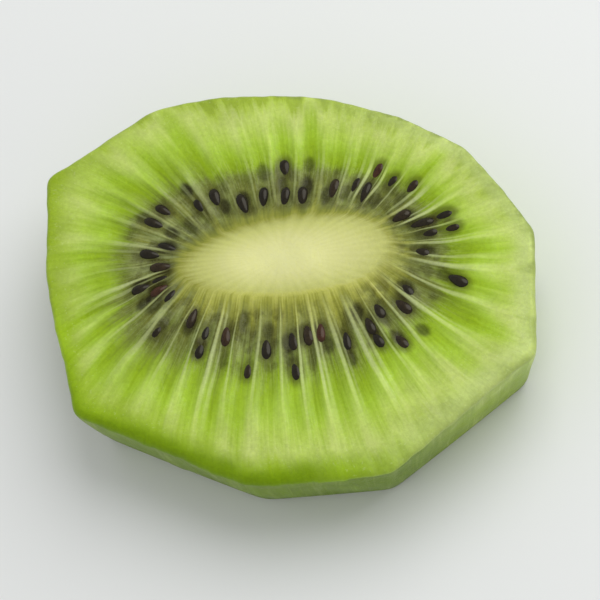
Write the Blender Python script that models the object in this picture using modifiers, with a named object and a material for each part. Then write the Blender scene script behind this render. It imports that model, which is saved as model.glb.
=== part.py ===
"""A hand-cut slice of peeled kiwi fruit, lying on its smaller cut face. Metres, +Z up.

The slice is one piece of fruit: a pale core, a sunken ring of seed chambers round it, and outer flesh
that pale rays cross from the core to the rim. A round slice is turned from its profile first. Its points
are then carried to the real outline, the flats that a peeling knife leaves, and the seeds are fused
into both cut faces.
"""

import math
import random

import bmesh
import bpy
import numpy as np
from mathutils import Matrix, Vector

MM = 0.001

# The slice, across its larger cut face, and how square it was cut
THICKNESS = 10.4 * MM
TURNED_RADIUS = 22.5 * MM
WEDGE_RISE = 0.45 * MM  # the upper cut rises this much at the turned radius, towards WEDGE_FACING
WEDGE_FACING = math.radians(-150)
AXIS_LEAN = (-1.5 * MM, -0.7 * MM)  # how far the lower face lies aside of the upper one

# The knife's flats round the fruit: the way each faces, in degrees, and its distance from the middle
PEEL_FLATS = (
    (120, 25.4 * MM),
    (94, 21.9 * MM),
    (82, 20.5 * MM),
    (70, 20.1 * MM),
    (59, 20.6 * MM),
    (36, 22.7 * MM),
    (0, 25.9 * MM),
    (-54, 23.7 * MM),
    (-91, 21.4 * MM),
    (-117, 20.8 * MM),
    (-167, 24.5 * MM),
    (180, 25.9 * MM),
)
CORNER_SHARPNESS = 90

# The wall between the faces follows the fruit's own curve inwards
WALL_TAPER = math.tan(math.radians(7))
WALL_CURVE = 7.0  # inset for each square metre of depth
UPPER_RIM_ROUND = 0.6 * MM
LOWER_RIM_ROUND = 0.5 * MM
RIM_LEAD = 0.7 * MM  # a ring of points this far inside the upper rim keeps the cut flat up to it
BEVEL_DROP = 0.9 * MM  # one side of the upper rim is pared away further
BEVEL_WIDTH = 0.14  # as a share of the way from the rim to the core
BEVEL_FACING = math.radians(-105)

# The core
CORE_MIDDLE = (-0.3 * MM, 2.8 * MM)
CORE_HALF_LENGTH = 11.1 * MM
CORE_HALF_WIDTH = 4.5 * MM
CORE_TAPER = 0.14  # the core is this share wider at +X and narrower at -X
CORE_TURNED = 6.5 * MM
CORE_DOME = 0.15 * MM

# The ring of seed chambers and the rays between them. Stations run from 0 at the core to 1 at the rim.
RAYS = 38
RAY_LEAN = 0.07  # radians that a ray turns on its way out
RAY_HEIGHT = 0.16 * MM
CHAMBER_DEPTH = 0.32 * MM
CHAMBER_STARTS = (0.0, 0.12)
CHAMBER_ENDS = (0.42, 0.62)
RAY_FADES = (0.55, 0.88)
LOWER_RAY_SHARE = 0.4  # how far the rays fill the chambers' hollows in the lower cut

# The seeds
SEED_LENGTH = (2.0 * MM, 2.65 * MM)
SEED_WIDTH = (1.3 * MM, 1.65 * MM)
SEED_HEIGHT = 1.1 * MM
SEED_POINT = 0.45  # how much slimmer a seed is at the end that points to the core
SEED_STANDS_PROUD = (0.22 * MM, 0.5 * MM)  # some lie deeper in the gel than others
SEED_CLEAR_OF_REST = 0.04 * MM
SEED_GAP = 1.2 * MM
SEED_WANDER = 0.25  # how far a seed lies off the middle of its chamber, as a share of the chamber
SEED_TURN = 0.18  # radians that a seed may point aside
INNER_SEEDS = (0.14, 0.28)
OUTER_SEEDS = (0.31, 0.44)
OUTER_SEED_SHARE = 0.42  # chambers with a seed further out
BOTH_SEEDS_SHARE = 0.55  # those of them that hold a seed near the core too
OUTER_RING_SHIFT = 0.06  # the seeds further out reach further still at +X, and the inner ones less so
INNER_RING_SHIFT = 0.018
DRAW_UPPER = 37513
DRAW_LOWER = 4142

# How finely the cut faces are divided
COLUMNS_PER_RAY = 2
CORE_RINGS = (0.0, 0.4, 0.75, 1.0)
FACE_STATIONS = (0.07, 0.14, 0.26, 0.36, 0.46, 0.57, 0.7, 0.84)
WALL_DEPTHS = (0.33, 0.66)

FLESH_COLOUR = (0.36, 0.50, 0.055, 1.0)
CORE_COLOUR = (0.69, 0.69, 0.32, 1.0)
SEED_COLOUR = (0.012, 0.008, 0.004, 1.0)


def ease(low, high, value):
    """0 below low, 1 above high, and a smooth rise between."""
    share = np.clip((value - low) / (high - low), 0.0, 1.0)
    return share * share * (3.0 - 2.0 * share)


def outline_radius(angle):
    """How far the peeled outline is from the middle: the nearest flat, rounded a little at its corners."""
    total = np.zeros_like(angle)
    for facing, distance in PEEL_FLATS:
        nearness = np.maximum(np.cos(angle - math.radians(facing)), 0.0) / distance
        total += nearness**CORNER_SHARPNESS
    return total ** (-1.0 / CORNER_SHARPNESS)


def ray_drift(angle):
    """The rays aren't evenly spaced: this turns each a little from its even place."""
    return angle + 0.035 * np.sin(3.0 * angle + 1.0) + 0.02 * np.sin(8.0 * angle + 2.0)


def station_of(radius):
    """A turned radius as a station: -1 at the core's middle, 0 at its edge and 1 at the rim."""
    outside = (radius - CORE_TURNED) / (TURNED_RADIUS - CORE_TURNED)
    return np.where(radius < CORE_TURNED, radius / CORE_TURNED - 1.0, outside)


def place_on_face(angle, station):
    """X and Y of a station on the ray at this angle."""
    turn = ray_drift(angle)
    in_core = np.clip(station + 1.0, 0.0, 1.0)
    core_x = CORE_MIDDLE[0] + in_core * CORE_HALF_LENGTH * np.cos(turn)
    core_width = CORE_HALF_WIDTH * (1.0 + CORE_TAPER * np.cos(turn))
    core_y = CORE_MIDDLE[1] + in_core * core_width * np.sin(turn)
    outside = np.maximum(station, 0.0)
    out_turn = turn + RAY_LEAN * outside
    reach = outline_radius(out_turn)
    x = (1.0 - outside) * core_x + outside * reach * np.cos(out_turn)
    y = (1.0 - outside) * core_y + outside * reach * np.sin(out_turn)
    return x, y


def chamber_depth(station):
    """How deep the ring of seed chambers is sunk below the cut."""
    return CHAMBER_DEPTH * ease(*CHAMBER_STARTS, station) * (1.0 - ease(*CHAMBER_ENDS, station))


def upper_relief(angle, station):
    """Height of the upper cut above its plane: domed core, sunken chambers, raised rays, pared rim."""
    dome = CORE_DOME * (1.0 - np.clip(station + 1.0, 0.0, 1.0) ** 2)
    crest = np.cos(RAYS * angle) * ease(0.0, 0.12, station) * (1.0 - ease(*RAY_FADES, station))
    side = np.maximum(np.cos(ray_drift(angle) - BEVEL_FACING), 0.0) ** 2
    pared = BEVEL_DROP * side * ease(1.0 - BEVEL_WIDTH, 1.0, station)
    return dome - chamber_depth(station) + RAY_HEIGHT * crest - pared


def lower_relief(angle, station):
    """Height of the lower cut above what it rests on: only the chambers are hollowed, between the rays."""
    crest = 0.5 + 0.5 * np.cos(RAYS * angle)
    return chamber_depth(station) * (1.0 - LOWER_RAY_SHARE * crest)


def wall_inset(depth):
    """How far the wall has come in at this depth below the upper cut."""
    return WALL_TAPER * depth + WALL_CURVE * depth**2


def arc(middle, radius, start, end, steps):
    """Points along a quarter round, from one angle to another in degrees."""
    angles = [math.radians(start + (end - start) * k / steps) for k in range(steps + 1)]
    return [(middle[0] + radius * math.cos(a), middle[1] + radius * math.sin(a)) for a in angles]


def turned_profile():
    """The round slice's section as (radius, height), from the middle of the upper cut down to the lower."""
    span = TURNED_RADIUS - CORE_TURNED
    rings = [share * CORE_TURNED for share in CORE_RINGS]
    rings += [CORE_TURNED + station * span for station in FACE_STATIONS]
    upper_round = (TURNED_RADIUS - UPPER_RIM_ROUND, THICKNESS - UPPER_RIM_ROUND)
    lower_radius = TURNED_RADIUS - wall_inset(THICKNESS)
    lower_round = (lower_radius - LOWER_RIM_ROUND, LOWER_RIM_ROUND)
    points = [(radius, THICKNESS) for radius in rings]
    points += [(upper_round[0] - RIM_LEAD, THICKNESS)]
    points += arc(upper_round, UPPER_RIM_ROUND, 90, 0, 3)
    points += [(TURNED_RADIUS - wall_inset(d * THICKNESS), (1.0 - d) * THICKNESS) for d in WALL_DEPTHS]
    points += arc(lower_round, LOWER_RIM_ROUND, 0, -90, 2)
    points += [(radius, 0.0) for radius in reversed(rings[:-1])]
    return points


def material(name, colour, roughness):
    made = bpy.data.materials.new(name)
    made.use_nodes = True
    made.diffuse_color = colour
    shader = made.node_tree.nodes["Principled BSDF"]
    shader.inputs["Base Color"].default_value = colour
    shader.inputs["Roughness"].default_value = roughness
    shader.inputs["Metallic"].default_value = 0.0
    return made


def turn_slice(collection):
    """The round slice: its section turned about the upright axis."""
    mesh = bpy.data.meshes.new("kiwi_slice_section")
    points = [(radius, 0.0, height) for radius, height in turned_profile()]
    edges = [(k, k + 1) for k in range(len(points) - 1)]
    mesh.from_pydata(points, edges, [])
    section = bpy.data.objects.new("kiwi_slice_section", mesh)
    collection.objects.link(section)
    screw = section.modifiers.new("Turn", "SCREW")
    screw.steps = RAYS * COLUMNS_PER_RAY
    screw.render_steps = screw.steps
    screw.use_merge_vertices = True
    screw.merge_threshold = 0.00001
    return section


def made_real(obj, name):
    """A mesh of the object with its modifiers applied."""
    bpy.context.view_layer.update()
    evaluated = obj.evaluated_get(bpy.context.evaluated_depsgraph_get())
    mesh = bpy.data.meshes.new_from_object(evaluated)
    mesh.name = name
    return mesh


def shape_slice(mesh):
    """Carries each point of the turned slice to its place on the peeled, hand-cut one."""
    points = np.empty(len(mesh.vertices) * 3, np.float32)
    mesh.vertices.foreach_get("co", points)
    x, y, z = points.reshape(-1, 3).astype(np.float64).T
    angle = np.arctan2(y, x)
    station = station_of(np.hypot(x, y))
    tiny = 0.01 * MM
    upper = z > THICKNESS - UPPER_RIM_ROUND - tiny
    lower = z < tiny
    level = z / THICKNESS
    x, y = place_on_face(angle, station)
    z = z + np.where(upper, upper_relief(angle, station), 0.0)
    z = z + np.where(lower, lower_relief(angle, station), 0.0)
    z = z + level * wedge_rise(x, y)
    x = x + (1.0 - level) * AXIS_LEAN[0]
    y = y + (1.0 - level) * AXIS_LEAN[1]
    mesh.vertices.foreach_set("co", np.stack([x, y, z], axis=1).astype(np.float32).ravel())
    mesh.update()


def wedge_rise(x, y):
    """The upper cut isn't quite parallel to the lower one."""
    along = x * math.cos(WEDGE_FACING) + y * math.sin(WEDGE_FACING)
    return WEDGE_RISE * along / TURNED_RADIUS


def seed_stations(draw):
    """(angle, station) of every seed on one face. A chamber has one near the core, one further out or both."""
    for chamber in range(RAYS):
        angle = (chamber + 0.5 + draw.uniform(-SEED_WANDER, SEED_WANDER)) * 2.0 * math.pi / RAYS
        further_out = draw.random() < OUTER_SEED_SHARE
        if not further_out or draw.random() < BOTH_SEEDS_SHARE:
            yield angle, draw.uniform(*INNER_SEEDS) + INNER_RING_SHIFT * math.cos(angle)
        if further_out:
            yield angle, draw.uniform(*OUTER_SEEDS) + OUTER_RING_SHIFT * math.cos(angle)


def seed_spot(angle, station):
    """Where a seed lies on its face, and the direction from it outwards along its chamber."""
    angles = np.array([angle, angle, angle])
    x, y = place_on_face(angles, station + np.array([-0.05, 0.0, 0.05]))
    return Vector((x[1], y[1])), math.atan2(y[2] - y[0], x[2] - x[0])


def add_seed(collection, mark, spot, height, heading, length, width):
    """One seed: a drop, blunt outwards and slimmer towards the core."""
    shape = bmesh.new()
    bmesh.ops.create_uvsphere(shape, u_segments=6, v_segments=4, radius=0.5)
    bmesh.ops.rotate(shape, verts=shape.verts, matrix=Matrix.Rotation(math.radians(90), 3, "Y"))
    for point in shape.verts:
        slim = 1.0 - SEED_POINT * (0.5 - point.co.x)
        point.co.x *= length
        point.co.y *= width * slim
        point.co.z *= SEED_HEIGHT * slim
    mesh = bpy.data.meshes.new(mark)
    shape.to_mesh(mesh)
    shape.free()
    seed = bpy.data.objects.new(mark, mesh)
    seed.location = (spot.x, spot.y, height)
    seed.rotation_euler = (0.0, 0.0, heading)
    collection.objects.link(seed)
    return seed


def sow(collection, draw_number, upper, stuff):
    """Lays seeds into one cut face, and skips any that would crowd one already there."""
    draw = random.Random(draw_number)
    taken = []
    for angle, station in list(seed_stations(draw)):
        spot, heading = seed_spot(angle, station)
        length = draw.uniform(*SEED_LENGTH)
        width = draw.uniform(*SEED_WIDTH)
        heading += draw.uniform(-SEED_TURN, SEED_TURN)
        stands_proud = draw.uniform(*SEED_STANDS_PROUD)
        if any((spot - other).length < SEED_GAP for other in taken):
            continue
        taken.append(spot)
        if upper:
            surface = THICKNESS - chamber_depth(station) + wedge_rise(spot.x, spot.y)
            height = float(surface) + stands_proud - 0.5 * SEED_HEIGHT
        else:
            spot = spot + Vector(AXIS_LEAN)
            height = 0.5 * SEED_HEIGHT + SEED_CLEAR_OF_REST
        mark = f"seed_{'upper' if upper else 'lower'}_{len(taken)}"
        seed = add_seed(collection, mark, spot, height, heading, length, width)
        seed.data.materials.append(stuff)


def fuse(obj, seeds):
    """Joins every seed of the collection to the flesh, and removes the loose seeds."""
    union = obj.modifiers.new("Seeds", "BOOLEAN")
    union.operation = "UNION"
    union.operand_type = "COLLECTION"
    union.collection = seeds
    union.solver = "EXACT"
    union.material_mode = "TRANSFER"
    mesh = made_real(obj, obj.name)
    obj.modifiers.clear()
    old = obj.data
    obj.data = mesh
    bpy.data.meshes.remove(old)
    for seed in list(seeds.objects):
        bpy.data.meshes.remove(seed.data)
    bpy.data.collections.remove(seeds)


def colour_core(mesh, slot):
    """Gives the faces of the core, on both cuts, the core's material."""
    for face in mesh.polygons:
        middle = face.center
        low = 1.0 if middle.z < 0.5 * THICKNESS else 0.0
        x = middle.x - CORE_MIDDLE[0] - low * AXIS_LEAN[0]
        y = middle.y - CORE_MIDDLE[1] - low * AXIS_LEAN[1]
        if math.hypot(x / CORE_HALF_LENGTH, y / CORE_HALF_WIDTH) < 1.0 and abs(face.normal.z) > 0.9:
            face.material_index = slot


def centre_over_origin(mesh):
    """Sets the slice down with the middle of its box over the origin."""
    points = np.empty(len(mesh.vertices) * 3, np.float32)
    mesh.vertices.foreach_get("co", points)
    points = points.reshape(-1, 3)
    low, high = points.min(axis=0), points.max(axis=0)
    aside = (-0.5 * (low[0] + high[0]), -0.5 * (low[1] + high[1]), -low[2])
    mesh.transform(Matrix.Translation(aside))


def clear_scene():
    for obj in list(bpy.data.objects):
        bpy.data.objects.remove(obj, do_unlink=True)


def new_collection(name):
    made = bpy.data.collections.new(name)
    bpy.context.scene.collection.children.link(made)
    return made


clear_scene()
slice_parts = new_collection("kiwi_slice")
seeds = new_collection("kiwi_seeds")
flesh_stuff = material("kiwi_flesh", FLESH_COLOUR, 0.3)
core_stuff = material("kiwi_core", CORE_COLOUR, 0.4)
seed_stuff = material("kiwi_seed", SEED_COLOUR, 0.25)

section = turn_slice(slice_parts)
slice_mesh = made_real(section, "kiwi_slice")
bpy.data.objects.remove(section, do_unlink=True)
shape_slice(slice_mesh)
slice_mesh.materials.append(flesh_stuff)
slice_mesh.materials.append(core_stuff)
colour_core(slice_mesh, 1)

kiwi_slice = bpy.data.objects.new("kiwi_slice", slice_mesh)
slice_parts.objects.link(kiwi_slice)
sow(seeds, DRAW_UPPER, True, seed_stuff)
sow(seeds, DRAW_LOWER, False, seed_stuff)
fuse(kiwi_slice, seeds)
centre_over_origin(kiwi_slice.data)
kiwi_slice.data.shade_smooth()
kiwi_slice.data.set_sharp_from_angle(angle=math.radians(35))
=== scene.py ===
import math
import random

import bpy
import numpy as np
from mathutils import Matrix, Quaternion, Vector


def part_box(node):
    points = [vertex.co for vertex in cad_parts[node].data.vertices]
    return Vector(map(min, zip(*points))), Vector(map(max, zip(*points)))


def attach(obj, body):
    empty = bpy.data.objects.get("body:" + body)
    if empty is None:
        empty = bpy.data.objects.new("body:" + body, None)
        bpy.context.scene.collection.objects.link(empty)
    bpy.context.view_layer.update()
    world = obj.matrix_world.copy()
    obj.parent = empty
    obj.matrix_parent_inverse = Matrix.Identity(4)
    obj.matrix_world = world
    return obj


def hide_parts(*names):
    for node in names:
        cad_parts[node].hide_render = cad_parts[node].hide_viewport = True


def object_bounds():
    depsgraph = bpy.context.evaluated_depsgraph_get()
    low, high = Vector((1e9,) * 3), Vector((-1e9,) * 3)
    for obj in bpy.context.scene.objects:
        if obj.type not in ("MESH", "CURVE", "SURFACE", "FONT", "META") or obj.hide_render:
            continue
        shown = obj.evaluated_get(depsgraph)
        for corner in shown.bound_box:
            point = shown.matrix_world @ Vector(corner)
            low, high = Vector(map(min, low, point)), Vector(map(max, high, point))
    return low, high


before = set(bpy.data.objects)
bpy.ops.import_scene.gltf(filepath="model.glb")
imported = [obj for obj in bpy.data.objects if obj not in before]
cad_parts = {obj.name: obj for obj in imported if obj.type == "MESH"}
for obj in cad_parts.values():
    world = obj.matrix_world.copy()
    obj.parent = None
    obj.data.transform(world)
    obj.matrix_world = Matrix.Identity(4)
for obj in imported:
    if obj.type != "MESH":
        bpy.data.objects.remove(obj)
cad_low, cad_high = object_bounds()

# ---- The flesh ----------------------------------------------------------------------------------------
# One hand-cut slice of a peeled kiwi fruit: a pale, dry core, a ring of gel-filled seed chambers round it,
# and firm green flesh that pale rays cross from the core to the rim. The knife that peeled the fruit left
# flats round it. It is wet and slightly see-through, and it lies on its smaller cut face.

MM = 0.001
THICKNESS = 10.4 * MM
TURNED_RADIUS = 22.5 * MM  # the slice is worked out round first, then carried to its peeled outline
WEDGE_RISE = 0.45 * MM  # the upper cut rises this much at the turned radius, towards WEDGE_FACING
WEDGE_FACING = math.radians(-150)
AXIS_LEAN = (-1.5 * MM, -0.7 * MM)  # how far the lower cut lies aside of the upper one

PEEL_FLATS = (  # the way each flat faces, in degrees, and its distance from the middle
    (120, 25.4 * MM),
    (94, 21.9 * MM),
    (82, 20.5 * MM),
    (70, 20.1 * MM),
    (59, 20.6 * MM),
    (36, 22.7 * MM),
    (0, 25.9 * MM),
    (-54, 23.7 * MM),
    (-91, 21.4 * MM),
    (-117, 20.8 * MM),
    (-167, 24.5 * MM),
    (180, 25.9 * MM),
)
CORNER_SHARPNESS = 90

WALL_TAPER = math.tan(math.radians(7))
WALL_CURVE = 7.0  # inset for each square metre of depth
UPPER_RIM_ROUND = 0.6 * MM
LOWER_RIM_ROUND = 0.5 * MM
BEVEL_DROP = 0.9 * MM  # one side of the upper rim is pared away further
BEVEL_WIDTH = 0.14
BEVEL_FACING = math.radians(-105)
BEVEL_REACH = 0.33  # how far down the wall the pared rim shows

CORE_MIDDLE = (-0.3 * MM, 2.8 * MM)
CORE_HALF_LENGTH = 11.1 * MM
CORE_HALF_WIDTH = 4.5 * MM
CORE_TAPER = 0.14
CORE_TURNED = 6.5 * MM
CORE_DOME = 0.15 * MM

RAYS = 38
RAY_LEAN = 0.07
RAY_HEIGHT = 0.12 * MM
RAY_RIDGE = 0.17  # half the width of a ray's ridge, as a share of the way to the next ray
CHAMBER_DEPTH = 0.32 * MM
CHAMBER_STARTS = (0.0, 0.12)
CHAMBER_ENDS = (0.42, 0.62)
RAY_FADES = (0.55, 0.88)
RAY_DRIFTS = ((3.0, 0.035, 1.0), (8.0, 0.02, 2.0))  # waves to a turn, their size, and where each starts
RAY_VARIES = (0.55, 1.35)  # the least and greatest share of the bell that a single ray has
GEL_SWELL = 0.07 * MM  # the gel stands up round each seed
GEL_REACH = (0.9, 1.8)  # where the swelling starts to fall and where it ends, in half a seed's size
SEED_SHADE_REACH = (0.8, 1.7)  # and so the painted shade that each seed throws round it
SUNK_REACH = (0.5, 1.15)
SUNK_SWELL = 0.6  # as a share of the swelling round a seed that shows
SEED_SHADE_STRENGTH = (0.6, 1.0)
SUNK_STRENGTH = (0.4, 1.0)
LOWER_HOLLOW = (0.8, 0.2)  # the lower cut's chambers and rays, as shares of the upper cut's chamber depth
VARIATION_DRAW = 5

SEED_LENGTH = (2.0 * MM, 2.65 * MM)
SEED_WIDTH = (1.3 * MM, 1.65 * MM)
SEED_STANDS_PROUD = (0.22 * MM, 0.5 * MM)  # some lie deeper in the gel than others
SEED_GAP = 1.2 * MM
SEED_WANDER = 0.25
SEED_TURN = 0.18
SEED_AIM = 0.05  # stations either side of a seed that the way it points is taken from
INNER_SEEDS = (0.14, 0.28)
OUTER_SEEDS = (0.31, 0.44)
OUTER_SEED_SHARE = 0.42
BOTH_SEEDS_SHARE = 0.55
OUTER_RING_SHIFT = 0.06  # the seeds further out reach further still at +X, and the inner ones less so
INNER_RING_SHIFT = 0.018
DRAW_UPPER = 37513
DRAW_LOWER = 4142
DRAW_SUNK_UPPER = 22398  # seeds that lie deeper: they darken the gel, and swell the upper cut a little
DRAW_SUNK_LOWER = 32

CUT_WAVES = (  # the way each train of knife marks runs in degrees, its length and its height
    (24, 7.0 * MM, 0.030 * MM),
    (31, 2.3 * MM, 0.010 * MM),
    (97, 9.0 * MM, 0.025 * MM),
)
WALL_WAVES = (  # how many ridges go round the wall, and their height
    (11, 0.060 * MM),
    (19, 0.045 * MM),
    (47, 0.030 * MM),
    (83, 0.018 * MM),
)
WALL_WAVES_START = (0.86, 1.04)  # as paint stations
WALL_WAVES_END = (1.85, 2.0)
WALL_WAVES_SWAY = 2.0  # how far a ridge swings aside on its way down, in radians of its own wave
WALL_WAVES_TURN = 3.0  # how fast it swings, in radians to a paint station
LOWER_PAINT_STRETCH = 0.5  # the station on the lower cut where its paint starts to run ahead

COLUMNS_PER_RAY = 14
CORE_ROWS = 20
FACE_ROWS = 72
ROUND_ROWS = 8
WALL_ROWS = 24
LOWER_FACE_ROWS = 44
LOWER_CORE_ROWS = 10


def ease(low, high, value):
    """0 below low, 1 above high, and between them 3 s^2 - 2 s^3 of the share s of the way."""
    share = np.clip((value - low) / (high - low), 0.0, 1.0)
    return share * share * (3.0 - 2.0 * share)


def outline_radius(angle):
    """Distance of the peeled outline: the sum of (cos(angle - facing) / distance)^90 over the flats, to
    the power -1/90, which is the nearest flat with its corners a little rounded."""
    summed = np.zeros_like(angle)
    for facing, distance in PEEL_FLATS:
        nearness = np.maximum(np.cos(angle - math.radians(facing)), 0.0) / distance
        summed += nearness**CORNER_SHARPNESS
    return summed ** (-1.0 / CORNER_SHARPNESS)


def ray_drift(angle):
    """The angle with a few slow sine waves added, so that the rays aren't evenly spaced."""
    drifted = angle
    for waves, size, start in RAY_DRIFTS:
        drifted = drifted + size * np.sin(waves * angle + start)
    return drifted


def station_of(radius):
    """A turned radius as a station: -1 at the core's middle, 0 at its edge and 1 at the rim."""
    outside = (radius - CORE_TURNED) / (TURNED_RADIUS - CORE_TURNED)
    return np.where(radius < CORE_TURNED, radius / CORE_TURNED - 1.0, outside)


def place_on_face(angle, station):
    """X and Y of a station: inside the core its share of the core's oval, and outside it a straight blend
    from the core's edge to the outline, with the outline's point turned a little further on."""
    turn = ray_drift(angle)
    in_core = np.clip(station + 1.0, 0.0, 1.0)
    core_x = CORE_MIDDLE[0] + in_core * CORE_HALF_LENGTH * np.cos(turn)
    core_width = CORE_HALF_WIDTH * (1.0 + CORE_TAPER * np.cos(turn))
    core_y = CORE_MIDDLE[1] + in_core * core_width * np.sin(turn)
    outside = np.maximum(station, 0.0)
    out_turn = turn + RAY_LEAN * outside
    reach = outline_radius(out_turn)
    x = (1.0 - outside) * core_x + outside * reach * np.cos(out_turn)
    y = (1.0 - outside) * core_y + outside * reach * np.sin(out_turn)
    return x, y


def wedge_rise(x, y):
    """Height that the slanting upper cut adds: the distance along the slant times its slope."""
    along = x * math.cos(WEDGE_FACING) + y * math.sin(WEDGE_FACING)
    return WEDGE_RISE * along / TURNED_RADIUS


def wall_inset(depth):
    """How far the wall has come in: a straight taper plus a share that grows as the depth squared."""
    return WALL_TAPER * depth + WALL_CURVE * depth**2


def chamber_depth(station):
    """Depth of the ring of seed chambers: it eases in at the core and out before the outer flesh."""
    return CHAMBER_DEPTH * ease(*CHAMBER_STARTS, station) * (1.0 - ease(*CHAMBER_ENDS, station))


def ray_crest(angle, varied):
    """About -1 in the gel and 1 on a ray: half a cosine of the ray's phase, less a half, and a narrow bell
    exp(-(off / width)^2) on each ray, which varied scales by that ray's own height."""
    phase = angle * RAYS / (2.0 * math.pi)
    nearest = np.rint(phase)
    bell = np.exp(-(((phase - nearest) / RAY_RIDGE) ** 2)) * varied[nearest.astype(int) % RAYS]
    return 0.5 * np.cos(2.0 * math.pi * phase) + bell - 0.5


def knife_marks(x, y):
    """The sum of a few long sine waves across the cut, each with its own way, length and height."""
    height = np.zeros_like(x)
    for facing, length, size in CUT_WAVES:
        along = x * math.cos(math.radians(facing)) + y * math.sin(math.radians(facing))
        height += size * np.sin(2.0 * math.pi * along / length + facing)
    return height


def seed_stations(draw):
    """(angle, station) of each seed of one cut: a chamber has one near the core, one further out or both."""
    for chamber in range(RAYS):
        angle = (chamber + 0.5 + draw.uniform(-SEED_WANDER, SEED_WANDER)) * 2.0 * math.pi / RAYS
        further_out = draw.random() < OUTER_SEED_SHARE
        if not further_out or draw.random() < BOTH_SEEDS_SHARE:
            yield angle, draw.uniform(*INNER_SEEDS) + INNER_RING_SHIFT * math.cos(angle)
        if further_out:
            yield angle, draw.uniform(*OUTER_SEEDS) + OUTER_RING_SHIFT * math.cos(angle)


def sown(draw_number):
    """The seeds of one cut as rows of x, y, heading, length, width, station and how far each stands proud.
    Each points outwards along its chamber, and one that would crowd another is left out."""
    draw = random.Random(draw_number)
    rows = []
    for angle, station in list(seed_stations(draw)):
        x, y = place_on_face(np.full(3, angle), station + SEED_AIM * np.array([-1.0, 0.0, 1.0]))
        heading = math.atan2(y[2] - y[0], x[2] - x[0])
        length = draw.uniform(*SEED_LENGTH)
        width = draw.uniform(*SEED_WIDTH)
        heading += draw.uniform(-SEED_TURN, SEED_TURN)
        stands_proud = draw.uniform(*SEED_STANDS_PROUD)
        if all(math.hypot(x[1] - row[0], y[1] - row[1]) >= SEED_GAP for row in rows):
            rows.append((x[1], y[1], heading, length, width, station, stands_proud))
    return np.array(rows)


def round_each_seed(x, y, seeds, reach, amounts):
    """The sum over the seeds of their amounts, each eased from full inside reach's first number to none at
    its second. Distances are measured along and across the seed in its own half lengths and widths."""
    summed = np.zeros_like(x)
    for (seed_x, seed_y, heading, length, width, *_), amount in zip(seeds, amounts, strict=True):
        ahead = (x - seed_x) * math.cos(heading) + (y - seed_y) * math.sin(heading)
        aside = (y - seed_y) * math.cos(heading) - (x - seed_x) * math.sin(heading)
        distance = 2.0 * np.hypot(ahead / length, aside / width)
        summed += amount * (1.0 - ease(*reach, distance))
    return summed


def turned_section():
    """The round slice's section from the middle of the upper cut, over the rim and down the wall, to the
    middle of the lower cut. Gives each row's turned radius, height, share of the upper cut's relief and
    share of the lower cut's, and the paint where faces start from it and where they end at it. Paint is
    the station on the upper cut, 1 to 2 down the wall, 2 round the lower rim, and on the lower cut its
    station again, stretched outwards so that it comes to 1 at the rim."""
    core = np.linspace(0.0, CORE_TURNED, CORE_ROWS + 1)[1:]
    upper_end = TURNED_RADIUS - UPPER_RIM_ROUND
    lower_rim = TURNED_RADIUS - wall_inset(THICKNESS)
    lower_end = lower_rim - LOWER_RIM_ROUND
    face = np.linspace(CORE_TURNED, upper_end, FACE_ROWS + 1)[1:]
    turn = np.linspace(0.0, 0.5 * math.pi, ROUND_ROWS + 1)[1:]
    down = np.linspace(0.0, 1.0, WALL_ROWS + 1)[1:]
    lower_face = np.linspace(lower_end, CORE_TURNED, LOWER_FACE_ROWS + 1)[1:]
    lower_core = np.linspace(CORE_TURNED, 0.0, LOWER_CORE_ROWS + 1)[1:-1]
    upper = np.concatenate([core, face, upper_end + UPPER_RIM_ROUND * np.sin(turn)])
    wall = TURNED_RADIUS - wall_inset(THICKNESS * down)
    lower = np.concatenate([lower_end + LOWER_RIM_ROUND * np.cos(turn), lower_face, lower_core])
    flat = np.full(len(core) + len(face), THICKNESS)
    upper_height = np.concatenate([flat, THICKNESS - UPPER_RIM_ROUND * (1.0 - np.cos(turn))])
    wall_height = THICKNESS - UPPER_RIM_ROUND - (THICKNESS - UPPER_RIM_ROUND - LOWER_RIM_ROUND) * down
    lower_height = np.zeros_like(lower)
    lower_height[: len(turn)] = LOWER_RIM_ROUND * (1.0 - np.sin(turn))
    wall_share = 1.0 - ease(0.0, BEVEL_REACH, down)
    upper_share = np.concatenate([np.ones_like(upper), wall_share, np.zeros_like(lower)])
    lower_share = np.concatenate([np.zeros(len(upper) + len(wall)), lower_height == 0.0])
    lower_station = station_of(lower)
    rim_station = station_of(lower_rim)
    stretch = ease(LOWER_PAINT_STRETCH, rim_station, lower_station)
    lower_paint = lower_station + (1.0 - rim_station) * stretch
    ends = np.concatenate([station_of(upper), 1.0 + down, lower_paint])
    lower_rim_rows = slice(len(upper) + len(wall), len(upper) + len(wall) + len(turn))
    ends[lower_rim_rows] = 2.0
    starts = ends.copy()
    starts[lower_rim_rows.stop - 1] = lower_paint[len(turn) - 1]
    radius = np.concatenate([upper, wall, lower])
    height = np.concatenate([upper_height, wall_height, lower_height])
    return radius, height, upper_share, lower_share, starts, ends


def wall_ridges(angle, paint):
    """Shallow upright ridges on the wall and the upper rim: a sum of sine waves round the slice, each
    shifted a little by a sine of the paint, eased in at the rim and out at the foot of the wall."""
    height = np.zeros(np.broadcast_shapes(angle.shape, paint.shape))
    for number, size in WALL_WAVES:
        sway = WALL_WAVES_SWAY * np.sin(WALL_WAVES_TURN * paint + number)
        height += size * np.sin(number * angle + sway)
    return height * ease(*WALL_WAVES_START, paint) * (1.0 - ease(*WALL_WAVES_END, paint))


seeds_upper = sown(DRAW_UPPER)
seeds_lower = sown(DRAW_LOWER)
sunk_upper = sown(DRAW_SUNK_UPPER)
sunk_lower = sown(DRAW_SUNK_LOWER)
spread = np.random.default_rng(VARIATION_DRAW)
ray_varies = spread.uniform(*RAY_VARIES, RAYS)

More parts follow.
